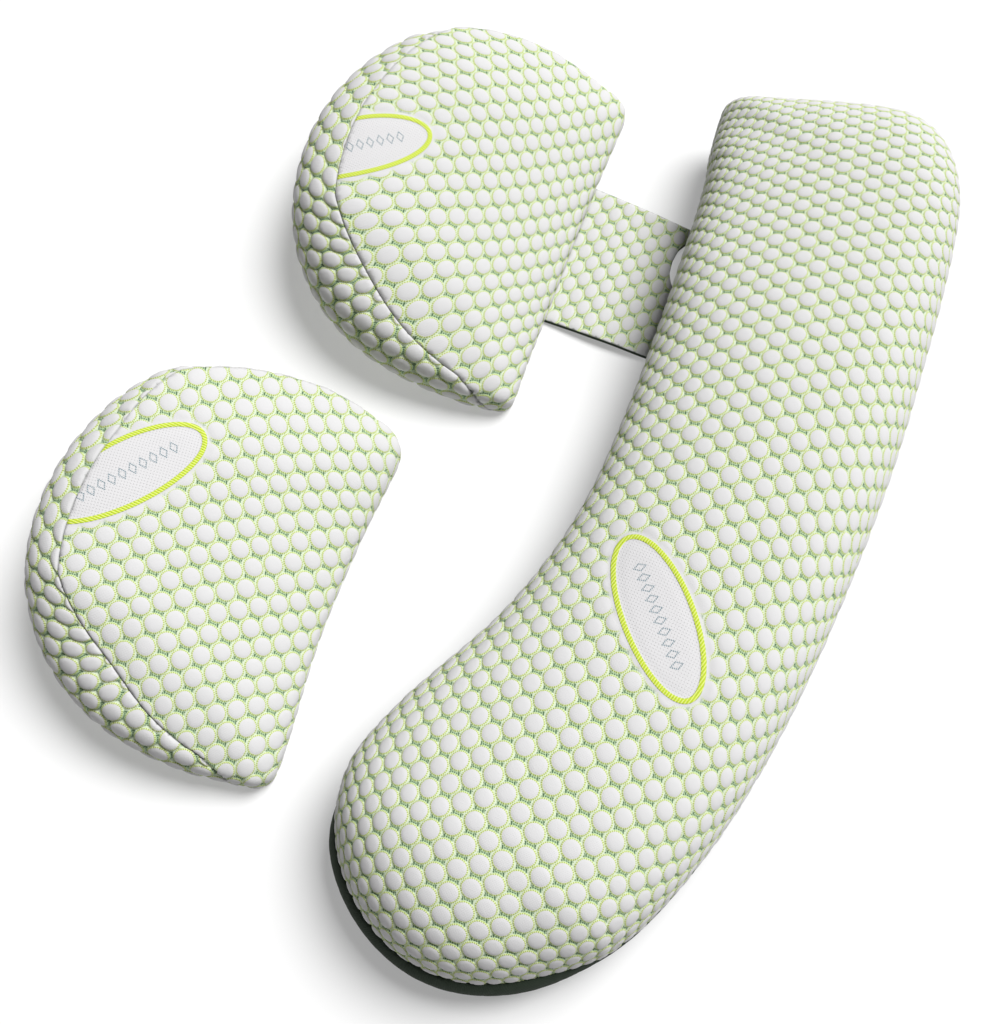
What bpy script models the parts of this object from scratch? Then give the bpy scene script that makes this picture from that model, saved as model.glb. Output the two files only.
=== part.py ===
"""Modular body pillow: a long curved pillow, a wedge strapped to its side, and a loose wedge.

Metres, +Z up. +Y runs along the straight upper part of the long pillow, and the
wedges' straight edges are parallel to it. Everything lies on the plane z = 0.
"""
import math

import bpy
import bmesh
from mathutils import Vector
from mathutils.geometry import interpolate_bezier

MM = 0.001
COLLECTION = "body_pillow"
CLOTH_COLOUR = (0.80, 0.82, 0.74)
CLOTH_ROUGHNESS = 0.85

# Driving sizes, in millimetres
LONG_THICKNESS = 114.0       # crest of the long pillow above the floor
WEDGE_DEPTH = 254.0          # straight edge to the outermost point of the curved wall
WEDGE_EDGE = 22.0            # thickness along a wedge's straight edge
WEDGE_HEIGHT = 103.0         # top seam above the floor, at the middle of the curved wall
WEDGE_CROWN = 15.0           # how far the top panel swells above a flat panel
WALL_SWELL = 0.45            # outward swell of a wedge's wall, as a share of its height
SEAM_DEPTH = 1.6             # how far a seam is drawn in
SEAM_FADE = 60.0             # the seam fades out this near the straight edge, which has none
SEAM_MARGIN = 5.0            # seam to the full swell of the cloth beside it
STRAP_THICKNESS = 5.0

# Placement of each wedge: the middle of its straight edge
JOINED_WEDGE = {"x": -13.0, "y": 255.0}
LOOSE_WEDGE = {"x": -90.0, "y": -129.0}

# Outlines at the widest level, anticlockwise. Each row: x, y, heading in degrees,
# length of the curve handle before and after, steps to the next row.
# The long pillow's starts at its lower end; a wedge's starts in the middle of its straight edge, on +X
LONG_OUTLINE = (
    (82.0, -379.0, 0.0, 62.0, 60.0, 5),
    (218.5, -286.0, 62.0, 54.0, 85.0, 5),
    (284.5, -61.0, 81.5, 60.0, 80.0, 5),
    (306.0, 190.0, 89.5, 80.0, 60.0, 4),
    (303.0, 362.0, 96.0, 50.0, 52.0, 4),
    (226.0, 452.0, 184.0, 46.0, 40.0, 3),
    (94.0, 424.0, 191.0, 40.0, 9.0, 2),
    (76.0, 408.0, 269.0, 9.0, 25.0, 3),
    (82.0, 290.0, 270.0, 40.0, 60.0, 5),
    (78.5, 50.0, 266.0, 90.0, 60.0, 4),
    (24.5, -131.5, 240.0, 62.0, 50.0, 4),
    (-34.0, -283.0, 270.0, 58.0, 40.0, 5),
)
JOINED_OUTLINE = (
    (-3.5, 0.0, 90.0, 60.0, 60.0, 4),
    (1.0, 151.0, 87.0, 40.0, 9.0, 2),
    (-14.0, 170.0, 166.0, 9.0, 20.0, 4),
    (-90.0, 185.0, 182.0, 36.0, 86.0, 6),
    (-254.5, 8.0, 270.0, 105.0, 106.0, 6),
    (-85.0, -172.0, 358.0, 100.0, 35.0, 4),
    (-15.0, -168.0, 8.0, 25.0, 9.0, 2),
    (-4.0, -151.0, 92.0, 9.0, 40.0, 4),
)
LOOSE_OUTLINE = (
    (-8.5, 0.0, 90.0, 60.0, 60.0, 4),
    (-1.5, 141.0, 86.0, 40.0, 10.0, 2),
    (-17.0, 165.0, 160.0, 10.0, 20.0, 4),
    (-80.0, 178.5, 182.0, 28.0, 98.0, 6),
    (-252.0, 8.0, 270.0, 106.0, 100.0, 6),
    (-85.0, -161.5, 358.0, 97.0, 35.0, 4),
    (-15.0, -155.5, 7.0, 25.0, 9.0, 2),
    (0.0, -138.0, 90.0, 9.0, 40.0, 4),
)
# Crest line of the long pillow, in the same columns
LONG_SPINE = (
    (85.0, -258.0, 62.0, 0.0, 100.0, 8),
    (186.0, 50.0, 84.0, 100.0, 100.0, 8),
    (193.0, 342.0, 90.0, 80.0, 0.0, 0),
)
# Cross-section of the long pillow, from under its middle round to the crest:
# share of the way from the outline in to the spine, share of the thickness
LONG_SECTION = (
    (0.62, 0.0),
    (0.40, 0.0),
    (0.17, 0.06),
    (0.05, 0.22),
    (0.00, 0.43),
    (0.03, 0.64),
    (0.12, 0.82),
    (0.30, 0.94),
    (0.52, 0.985),
    (0.76, 1.0),
)
# Wall of a wedge, from the underside up to the top seam:
# share of the wall's outward swell still to come, share of the wall's height
WEDGE_WALL = (
    (2.20, 0.0),
    (1.25, 0.0),
    (0.55, 0.07),
    (0.12, 0.25),
    (0.00, 0.46),
    (0.07, 0.70),
    (0.42, 0.92),
)
# Top panel of a wedge, from the seam in to the spine: share of the way, share of the crown
WEDGE_PANEL = (
    (0.16, 0.32),
    (0.38, 0.68),
    (0.66, 0.93),
)
BESIDE_SEAM_CROWN = 0.10
# Crest of a wedge, parallel to its straight edge: how far back it lies, and half its length
WEDGE_SPINE_X = -105.0
WEDGE_SPINE_HALF = 62.0
SEAM_PASSES = 12             # the seam's place and the wall's height depend on each other

# Strap, from the joined wedge's straight edge to under the long pillow's side:
# x, height of its upper face, y of its near and far edges
STRAP_ROWS = (
    (-17.7, 5.2, 186.3, 332.0),
    (-8.0, 5.8, 185.5, 330.4),
    (8.0, 7.4, 184.2, 327.4),
    (28.0, 9.0, 182.3, 323.7),
    (46.0, 9.4, 181.2, 321.0),
    (60.0, 8.6, 180.4, 319.0),
    (70.0, 7.2, 180.1, 318.2),
    (84.0, 5.3, 180.0, 317.0),
    (108.7, 5.1, 178.5, 315.0),
)
STRAP_COLUMNS = 7

# Middle of the whole set on the floor, which becomes the origin
MIDDLE_X = -16.8
MIDDLE_Y = 36.5


def clear_scene():
    for item in list(bpy.data.objects):
        bpy.data.objects.remove(item, do_unlink=True)


def part_collection():
    collection = bpy.data.collections.new(COLLECTION)
    bpy.context.scene.collection.children.link(collection)
    return collection


def cloth_material(name):
    material = bpy.data.materials.new(name)
    material.use_nodes = True
    shader = material.node_tree.nodes["Principled BSDF"]
    shader.inputs["Base Color"].default_value = (*CLOTH_COLOUR, 1.0)
    shader.inputs["Roughness"].default_value = CLOTH_ROUGHNESS
    shader.inputs["Metallic"].default_value = 0.0
    return material


def curve_points(rows, closed):
    """Points along a smooth curve through table rows, in millimetres."""
    points = []
    count = len(rows) if closed else len(rows) - 1
    for i in range(count):
        x0, y0, heading0, _, reach_out, steps = rows[i]
        x1, y1, heading1, reach_in, _, _ = rows[(i + 1) % len(rows)]
        start = Vector((x0, y0))
        end = Vector((x1, y1))
        leave = Vector((math.cos(math.radians(heading0)), math.sin(math.radians(heading0))))
        arrive = Vector((math.cos(math.radians(heading1)), math.sin(math.radians(heading1))))
        span = interpolate_bezier(start, start + leave * reach_out, end - arrive * reach_in, end, steps + 1)
        points.extend(span[:-1])
    if not closed:
        points.append(Vector(rows[-1][:2]))
    return points


def nearest_on(path, point):
    """The point of a polyline that lies nearest to a given point."""
    best = None
    for a, b in zip(path, path[1:]):
        run = b - a
        share = max(0.0, min(1.0, (point - a).dot(run) / run.length_squared))
        foot = a + run * share
        if best is None or (point - foot).length < (point - best).length:
            best = foot
    return best


def panel_height(distance):
    """Height of a wedge's flat panel at a distance from the straight edge."""
    run = WEDGE_DEPTH - WEDGE_HEIGHT * WALL_SWELL
    return WEDGE_EDGE + (WEDGE_HEIGHT - WEDGE_EDGE) * max(0.0, distance) / run


def wedge_column(edge, foot):
    """One column of points up the wall and over the top panel of a wedge."""
    reach = foot - edge
    inward = reach.normalized()
    height = WEDGE_EDGE
    for _ in range(SEAM_PASSES):
        seam = edge + inward * (height * WALL_SWELL)
        height = panel_height(-seam.x)
    swell = height * WALL_SWELL
    column = []
    for share, rise in WEDGE_WALL:
        spot = edge + inward * (swell * share)
        column.append((spot.x, spot.y, height * rise))
    seam = edge + inward * swell
    drawn_in = SEAM_DEPTH * min(1.0, max(0.0, -seam.x) / SEAM_FADE)
    column.append((seam.x, seam.y, height - drawn_in))
    beside = seam + inward * SEAM_MARGIN
    column.append((beside.x, beside.y, panel_height(-beside.x) + WEDGE_CROWN * BESIDE_SEAM_CROWN))
    for share, crown in WEDGE_PANEL:
        spot = seam + (foot - seam) * share
        column.append((spot.x, spot.y, panel_height(-spot.x) + WEDGE_CROWN * crown))
    return column


def long_column(edge, foot):
    """One column of points from under the long pillow round to its crest."""
    column = []
    for share, rise in LONG_SECTION:
        spot = edge + (foot - edge) * share
        column.append((spot.x, spot.y, LONG_THICKNESS * rise))
    return column


def loft_columns(name, columns):
    """A closed body from columns of points set round it, capped below and above."""
    shape = bmesh.new()
    rings = []
    for level in range(len(columns[0])):
        rings.append([shape.verts.new(Vector(column[level]) * MM) for column in columns])
    for lower, upper in zip(rings, rings[1:]):
        for i in range(len(lower)):
            j = (i + 1) % len(lower)
            shape.faces.new((lower[i], lower[j], upper[j], upper[i]))
    for ring in (rings[0], rings[-1]):
        edges = [shape.edges.get((ring[i - 1], ring[i])) for i in range(len(ring))]
        bmesh.ops.triangle_fill(shape, edges=edges, use_beauty=True)
    bmesh.ops.recalc_face_normals(shape, faces=shape.faces[:])
    mesh = bpy.data.meshes.new(name)
    shape.to_mesh(mesh)
    shape.free()
    return mesh


def add_object(name, mesh, collection, root):
    item = bpy.data.objects.new(name, mesh)
    collection.objects.link(item)
    mesh.materials.append(cloth_material(name + "_cloth"))
    mesh.shade_smooth()
    item.parent = root
    return item


def soften(item):
    """Rounds the cage; the flat ring under the body keeps its underside level."""
    smooth = item.modifiers.new("soften", 'SUBSURF')
    smooth.levels = 1
    smooth.render_levels = 1


def build_long_pillow(collection, root):
    spine = curve_points(LONG_SPINE, closed=False)
    outline = curve_points(LONG_OUTLINE, closed=True)
    columns = [long_column(edge, nearest_on(spine, edge)) for edge in outline]
    mesh = loft_columns("long_pillow", columns)
    soften(add_object("long_pillow", mesh, collection, root))


def build_wedge(name, place, rows, collection, root):
    spine = (Vector((WEDGE_SPINE_X, -WEDGE_SPINE_HALF)), Vector((WEDGE_SPINE_X, WEDGE_SPINE_HALF)))
    outline = curve_points(rows, closed=True)
    columns = [wedge_column(edge, nearest_on(spine, edge)) for edge in outline]
    mesh = loft_columns(name, columns)
    item = add_object(name, mesh, collection, root)
    item.location = (place["x"] * MM, place["y"] * MM, 0.0)
    soften(item)


def build_strap(collection, root):
    """A quilted strap, arched between the floor on its two sides."""
    shape = bmesh.new()
    rows = []
    for x, height, near, far in STRAP_ROWS:
        row = []
        for i in range(STRAP_COLUMNS):
            y = near + (far - near) * i / (STRAP_COLUMNS - 1)
            row.append(shape.verts.new(Vector((x, y, height)) * MM))
        rows.append(row)
    for a, b in zip(rows, rows[1:]):
        for i in range(STRAP_COLUMNS - 1):
            shape.faces.new((a[i], b[i], b[i + 1], a[i + 1]))
    mesh = bpy.data.meshes.new("strap")
    shape.to_mesh(mesh)
    shape.free()
    item = add_object("strap", mesh, collection, root)
    cloth = item.modifiers.new("thickness", 'SOLIDIFY')
    cloth.thickness = STRAP_THICKNESS * MM
    cloth.offset = -1.0


def main():
    clear_scene()
    collection = part_collection()
    root = bpy.data.objects.new("pillow_set", None)
    root.location = (-MIDDLE_X * MM, -MIDDLE_Y * MM, 0.0)
    collection.objects.link(root)
    build_long_pillow(collection, root)
    build_wedge("joined_wedge", JOINED_WEDGE, JOINED_OUTLINE, collection, root)
    build_wedge("loose_wedge", LOOSE_WEDGE, LOOSE_OUTLINE, collection, root)
    build_strap(collection, root)


main()
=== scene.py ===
import math

import bpy
import numpy as np
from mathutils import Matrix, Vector
from mathutils.geometry import delaunay_2d_cdt, interpolate_bezier


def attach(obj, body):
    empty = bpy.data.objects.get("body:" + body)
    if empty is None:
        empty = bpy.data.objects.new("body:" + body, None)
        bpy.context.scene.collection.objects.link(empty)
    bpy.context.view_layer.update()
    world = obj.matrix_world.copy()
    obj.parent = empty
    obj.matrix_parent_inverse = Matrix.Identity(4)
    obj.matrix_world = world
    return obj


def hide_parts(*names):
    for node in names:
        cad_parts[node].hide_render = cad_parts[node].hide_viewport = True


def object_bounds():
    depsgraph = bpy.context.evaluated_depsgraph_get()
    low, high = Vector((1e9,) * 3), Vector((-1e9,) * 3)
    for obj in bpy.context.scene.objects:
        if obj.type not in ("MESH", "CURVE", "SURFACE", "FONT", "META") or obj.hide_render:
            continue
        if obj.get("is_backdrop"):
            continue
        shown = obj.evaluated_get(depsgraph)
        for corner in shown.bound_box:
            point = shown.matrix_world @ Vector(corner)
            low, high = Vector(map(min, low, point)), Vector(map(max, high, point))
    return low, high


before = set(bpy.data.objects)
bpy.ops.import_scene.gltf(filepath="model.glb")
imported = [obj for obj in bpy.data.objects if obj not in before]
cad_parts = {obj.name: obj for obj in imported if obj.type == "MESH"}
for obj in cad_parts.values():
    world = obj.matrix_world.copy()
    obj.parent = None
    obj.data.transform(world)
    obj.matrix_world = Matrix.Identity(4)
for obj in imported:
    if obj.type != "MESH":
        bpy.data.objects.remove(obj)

MM = 0.001
# Layout coordinates, in millimetres, are moved by this much into the frame
SHIFT = np.array([16.8, -36.5, 0.0])

# ------------------------------------------------------------------ shapes, as in the part
LONG_THICKNESS = 114.0       # crest of the long pillow above the floor
WEDGE_DEPTH = 254.0          # straight edge to the outermost point of the curved wall
WEDGE_EDGE = 22.0            # thickness along a wedge's straight edge
WEDGE_HEIGHT = 103.0         # top seam above the floor, at the middle of the curved wall
WEDGE_CORNER = 15.0          # reach of the rounding at each end of the straight edge
WEDGE_CROWN = 15.0           # how far the top panel swells above a flat panel
WALL_SWELL = 0.45            # outward swell of a wedge's wall, as a share of its height
WEDGE_SPINE_X = -105.0       # crest line of a wedge: how far back it lies, and half its length
WEDGE_SPINE_HALF = 62.0
# Outlines: x, y, heading in degrees, handle before, handle after
JOINED_OUTLINE = (
    (-3.5, 0.0, 90.0, 60.0, 60.0),
    (1.0, 151.0, 87.0, 40.0, 9.0),
    (-14.0, 170.0, 166.0, 9.0, 20.0),
    (-90.0, 185.0, 182.0, 36.0, 86.0),
    (-254.5, 8.0, 270.0, 105.0, 106.0),
    (-85.0, -172.0, 358.0, 100.0, 35.0),
    (-15.0, -168.0, 8.0, 25.0, 9.0),
    (-4.0, -151.0, 92.0, 9.0, 40.0),
)
LOOSE_OUTLINE = (
    (-8.5, 0.0, 90.0, 60.0, 60.0),
    (-1.5, 141.0, 86.0, 40.0, 10.0),
    (-17.0, 165.0, 160.0, 10.0, 20.0),
    (-80.0, 178.5, 182.0, 28.0, 98.0),
    (-252.0, 8.0, 270.0, 106.0, 100.0),
    (-85.0, -161.5, 358.0, 97.0, 35.0),
    (-15.0, -155.5, 7.0, 25.0, 9.0),
    (0.0, -138.0, 90.0, 9.0, 40.0),
)
LONG_OUTLINE = (
    (82.0, -379.0, 0.0, 62.0, 60.0),
    (218.5, -286.0, 62.0, 54.0, 85.0),
    (284.5, -61.0, 81.5, 60.0, 80.0),
    (306.0, 190.0, 89.5, 80.0, 60.0),
    (303.0, 362.0, 96.0, 50.0, 52.0),
    (226.0, 452.0, 184.0, 46.0, 40.0),
    (94.0, 424.0, 191.0, 40.0, 9.0),
    (76.0, 408.0, 269.0, 9.0, 25.0),
    (82.0, 290.0, 270.0, 40.0, 60.0),
    (78.5, 50.0, 266.0, 90.0, 60.0),
    (24.5, -131.5, 240.0, 62.0, 50.0),
    (-34.0, -283.0, 270.0, 58.0, 40.0),
)
LONG_SPINE = (
    (85.0, -258.0, 62.0, 0.0, 100.0),
    (186.0, 50.0, 84.0, 100.0, 100.0),
    (193.0, 342.0, 90.0, 80.0, 0.0),
)
# Upper panel of the long pillow from the crest to the side seam, then the lower panel: share of the way
# from the outline to the crest, share of the thickness. The right side is steep. The left side tapers to
# the seam, but stays boxy beside the strap. At the low end the lower panel swells out beyond the seam.
STEEP_UPPER = (
    (1.0, 1.0), (0.76, 1.0), (0.52, 0.985), (0.30, 0.94),
    (0.12, 0.82), (0.03, 0.64), (0.012, 0.42),
)
TAPER_UPPER = (
    (1.0, 1.0), (0.78, 0.985), (0.56, 0.95), (0.36, 0.90),
    (0.20, 0.835), (0.07, 0.735), (0.0, 0.60), (0.0, 0.44),
)
BOXY_UPPER = (
    (1.0, 1.0), (0.78, 0.99), (0.56, 0.97), (0.36, 0.94),
    (0.20, 0.90), (0.08, 0.83), (0.01, 0.70), (0.0, 0.44),
)
END_UPPER = ((1.0, 1.0), (0.78, 0.995), (0.56, 0.965), (0.36, 0.90), (0.21, 0.79), (0.11, 0.64), (0.07, 0.44))
SIDE_LOWER = ((0.012, 0.42), (0.00, 0.33), (0.045, 0.17), (0.16, 0.04), (0.34, 0.0), (0.62, 0.0), (1.0, 0.0))
TAPER_LOWER = ((0.0, 0.44), (0.02, 0.28), (0.08, 0.14), (0.20, 0.03), (0.36, 0.0), (0.62, 0.0), (1.0, 0.0))
END_LOWER = ((0.07, 0.44), (0.01, 0.37), (0.00, 0.20), (0.08, 0.05), (0.24, 0.0), (0.58, 0.0), (1.0, 0.0))
# Where the tapered side and the low end face, in degrees, and the cosines between which each sets in
TAPER_FACING = 185.0
TAPER_SPREAD = (0.3, 1.0)
END_FACING = -105.0
END_SPREAD = (0.1, 0.7)
# y between which the boxy section sets in and fades again
BOXY_START = (120.0, 260.0)
BOXY_END = (320.0, 400.0)
# Wall of a wedge from the underside up: share of the swell, share of the height
WEDGE_WALL = ((0.90, 0.0), (0.45, 0.06), (0.10, 0.22), (0.00, 0.46), (0.07, 0.70), (0.42, 0.92), (1.0, 1.0))
# The same wall where it faces +Y, nearly straight
BACK_WALL = ((0.30, 0.0), (0.08, 0.06), (0.10, 0.22), (0.36, 0.46), (0.64, 0.70), (0.90, 0.92), (1.0, 1.0))
BACK_FACING = 92.0
BACK_SPREAD = (0.6, 0.9)
# Top panel of a wedge from the seam to the crest: share of the way, share of the crown, and the same
# share towards the straight edge
WEDGE_PANEL = (
    (0.0, 0.0, 0.0), (0.06, 0.16, 0.30), (0.20, 0.42, 0.64), (0.42, 0.72, 0.87),
    (0.66, 0.93, 0.96), (0.86, 1.0, 1.0), (1.0, 1.0, 1.0),
)
FRONT_SPREAD = (0.5, 0.95)
CRISP_FROM = (5.0, 50.0)     # distance from the straight edge between which the top seam turns crisp
# The top seam runs down to the floor at both ends of the straight edge: x between which it does
FOLD_START, FOLD_END = -50.0, -9.0
FOLDED = 0.985               # from this share on it lies on the floor's seam
FRONT_X = -40.0              # the straight edge lies on this side of it
CORNER_SLACK = 4.0
# x, height of the upper face, near edge, far edge
STRAP_ROWS = (
    (-17.0, 5.2, 186.3, 332.0),
    (-8.0, 5.8, 185.5, 330.4),
    (8.0, 7.4, 184.2, 327.4),
    (28.0, 9.0, 182.3, 323.7),
    (46.0, 9.4, 181.2, 321.0),
    (60.0, 8.6, 180.4, 319.0),
    (70.0, 7.2, 180.1, 318.2),
    (84.0, 5.3, 180.0, 317.0),
    (109.0, 5.1, 178.5, 315.0),
)
STRAP_SLANT = 0.02           # how far its left end leans along the wedge's edge
STRAP_HALF = 73.0            # half its width there
# The hollow in the strap's right edge, which shows the floor beside the long pillow: y, share of its depth
STRAP_HOLLOW = (
    (180.0, 0.0), (248.0, 0.0), (256.0, 0.82), (266.0, 0.96),
    (280.0, 1.0), (294.0, 0.94), (303.0, 0.80), (310.0, 0.0),
)
HOLLOW_DEPTH = 35.6
STRAP_THICKNESS = 5.0
STRAP_HEM = 2.6              # plain cloth along its long edges
STRAP_NET = {"middle": (22.3, 254.4), "heading": 86.0, "column": 10.6, "pitch": 18.4}
# Rows of points down a body: over its top panel, down a wedge's wall, and in under it
LONG_UPPER_STEPS, LONG_LOWER_STEPS = 60, 50
PANEL_STEPS, WALL_STEPS, UNDER_STEPS = 50, 40, 20

# ------------------------------------------------------------------ the cloth's net of padded cells
COLUMN = 13.9                # from one column of cells to the next
PITCH = 18.2                 # from one cell to the next along a column
CORNER_X = (COLUMN ** 2 + (PITCH / 2) ** 2) / (2 * COLUMN)
FLAT_X = (COLUMN ** 2 + (PITCH / 2) ** 2 - PITCH ** 2 / 2) / (2 * COLUMN)
PAD_RADIUS = 9.0
PAD_RISE = 2.1               # a pad's middle above its stitched edge
PAD_SINK = 0.9               # the stitched edge below the body's own surface
WALL_PAD_RISE = 3.3          # the same two for the stretched pads of a wedge's wall
WALL_PAD_SINK = 1.9
STRAP_PAD_RISE = 2.0         # and for the strap's
STRAP_PAD_SINK = 0.6
PAD_VARIETY = 0.16           # how far the pads' heights differ, as a share
SEAM_SINK = 1.5              # a seam below the body's own surface
LOWER_SEAM_SINK = 1.0        # the same for the wedges' lower seam
CREASE = 0.55                # half the width of a seam's crease
CREASE_CLEAR = 0.55          # from the crease to the next point
SEAM_STEP = 3.0              # between the points of a seam
BASE_RISE, BASE_SINK = 0.2, 0.1
STRAP_BASE_RISE = 0.1
# Rings of points inside a cell: share of the way to the border, points
FINE_RINGS = ((0.88, 18), (0.72, 12), (0.42, 6))
COARSE_RINGS = ((0.80, 9), (0.45, 5))
# How the net lies on each top panel, in the terms of the class Cloth. Its factors were fitted to the
# cells in the photograph.
LONG_NET = {
    "middle": (174.9, 27.9),
    "across": (100.6, -4.9, -1.0, 0.8, 0.6, 6.5, -4.4, 0.8, 0.2),
    "up": (4.7, 95.6, 10.0, -7.4, 2.4, 2.0, 1.9, -1.9, 0.9),
}
JOINED_NET = {
    "middle": (-109.2, -5.3),
    "across": (96.9, -2.6, 13.7, 1.9, 11.4, 2.6, 2.2, -6.4, 0.6),
    "up": (3.3, 96.2, 7.3, -4.4, 4.9, -7.6, 4.3, -6.7, -1.2),
}
LOOSE_NET = {
    "middle": (-122.7, -0.4),
    "across": (95.7, 9.6, -0.1, -2.8, 2.3, -0.5, -1.0, 2.9, -0.7),
    "up": (-3.1, 101.0, 6.0, 0.8, -1.2, -2.7, -0.5, 2.7, -0.9),
}

# ------------------------------------------------------------------ the woven ovals
LABEL_HALF = (67.5, 26.3)    # half the length and the width
LABEL_BORDER = 2.1           # half the width of the lime border
LABEL_CLEAR = 7.0            # plain cloth round it
LABEL_STEP = 2.6             # between the points of its border
LABEL_INNER = (1.5, 5.0, 9.0, 13.0, 17.0, 21.0)     # rings of points inside the border
AWAY_FROM_LABELS = 500.0     # a label coordinate for cloth that has none
# Where each lies on its panel: middle, heading in degrees
LONG_LABEL = ((155.5, -79.5), -53.8)
JOINED_LABEL = ((-200.7, -13.2), 37.0)
LOOSE_LABEL = ((-184.0, 31.5), 52.4)

# ------------------------------------------------------------------ the two wedges
# x, y: the middle of the straight edge. half_edge: half its length. inset: how far the seam lies inside
# the outline, as a share of the height: the least, how much more on one side, and where that side faces
JOINED_WEDGE = {
    "x": -13.0, "y": 255.0, "half_edge": 166.0, "inset": (0.20, 0.32, -146.0),
    "outline": JOINED_OUTLINE, "net": JOINED_NET, "label": JOINED_LABEL}
LOOSE_WEDGE = {
    "x": -90.0, "y": -129.0, "half_edge": 153.0, "inset": (0.18, 0.36, -132.0),
    "outline": LOOSE_OUTLINE, "net": LOOSE_NET, "label": LOOSE_LABEL}

# ------------------------------------------------------------------ camera, light and floor
LENS, SENSOR = 50.0, 36.0
CAMERA_ELEVATION = 69.0      # degrees above the floor
CAMERA_AZIMUTH = 19.0        # degrees, to the right of -Y
CAMERA_DISTANCE = 1.208      # metres from the layout's origin
KEY_DIRECTION = (0.36, 0.5, 1.0)
KEY_SOFTNESS = 34.0          # degrees across
KEY_POWER = 5.0
SKY_POWER = 0.1
FLOOR_HALF = 12.0            # metres
FLOOR_GREY = 0.5
FLOOR_GLOW = 0.32


# ------------------------------------------------------------------ curves and surfaces
def bezier_path(rows, closed, steps=40):
    """Dense points along a smooth curve through table rows."""
    points = []
    count = len(rows) if closed else len(rows) - 1
    for i in range(count):
        x0, y0, heading0, _, reach_out = rows[i]
        x1, y1, heading1, reach_in, _ = rows[(i + 1) % len(rows)]
        start, end = Vector((x0, y0)), Vector((x1, y1))
        leave = Vector((math.cos(math.radians(heading0)), math.sin(math.radians(heading0))))
        arrive = Vector((math.cos(math.radians(heading1)), math.sin(math.radians(heading1))))
        handles = (start + leave * reach_out, end - arrive * reach_in)
        span = interpolate_bezier(start, *handles, end, steps + 1)
        points.extend(tuple(p) for p in span[:-1])
    if not closed:
        points.append(rows[-1][:2])
    return np.array(points)


def resample(points, step, closed):
    """The same path with points about one step apart."""
    path = np.vstack([points, points[:1]]) if closed else points
    lengths = np.r_[0.0, np.cumsum(np.linalg.norm(np.diff(path, axis=0), axis=1))]
    count = max(2, int(round(lengths[-1] / step)))
    wanted = np.linspace(0.0, lengths[-1], count + 1)
    if closed:
        wanted = wanted[:-1]
    return np.stack([np.interp(wanted, lengths, path[:, i]) for i in range(path.shape[1])], axis=1)


def spline(controls, count=None, t=None):
    """A smooth curve that follows control points and meets both of its ends."""
    c = np.asarray(controls, float)
    c = np.concatenate([2 * c[:1] - c[1:2], c, 2 * c[-1:] - c[-2:-1]])
    spans = len(c) - 3
    if t is None:
        t = np.linspace(0, spans, count)
    i = np.minimum(t.astype(int), spans - 1)
    f = (t - i).reshape((-1,) + (1,) * (c.ndim - 1))
    b0 = (1 - f) ** 3 / 6
    b1 = (3 * f ** 3 - 6 * f ** 2 + 4) / 6
    b2 = (-3 * f ** 3 + 3 * f ** 2 + 3 * f + 1) / 6
    b3 = f ** 3 / 6
    return b0 * c[i] + b1 * c[i + 1] + b2 * c[i + 2] + b3 * c[i + 3]


def smooth_step(low, high, x):
    """0 below low, 1 above high, and a soft rise between them."""
    t = np.clip((x - low) / (high - low), 0.0, 1.0)
    return t * t * (3 - 2 * t)


def circle(angles):
    return np.stack([np.cos(angles), np.sin(angles)], axis=1)


def unit(vectors):
    return vectors / np.maximum(np.linalg.norm(vectors, axis=1), 1e-9)[:, None]


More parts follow.
